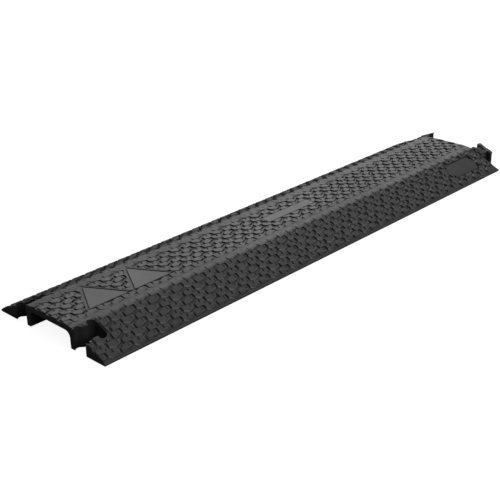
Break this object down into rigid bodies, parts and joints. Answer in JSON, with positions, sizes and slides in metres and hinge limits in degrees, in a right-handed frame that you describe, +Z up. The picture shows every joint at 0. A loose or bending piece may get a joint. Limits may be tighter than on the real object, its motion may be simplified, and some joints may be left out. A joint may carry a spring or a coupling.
{
  "type": "floor cord cover",
  "caption": "Drop-over floor cord cover: flat treaded deck, ramped sides, one open cord channel below, T-shaped sockets at one end and matching tabs at the other.",
  "frame": {"origin": "on the floor, at the middle of the whole cover's length (tabs included) and width", "axes": "+X along the cover towards the end with the tabs, +Y to the left when looking along +X, +Z up"},
  "size_m": [1.037, 0.242, 0.0363],
  "materials": {
    "black_rubber": "satin moulded rubber"
  },
  "bodies": {
    "root": {"cord_cover": "black_rubber"}
  },
  "joints": []
}
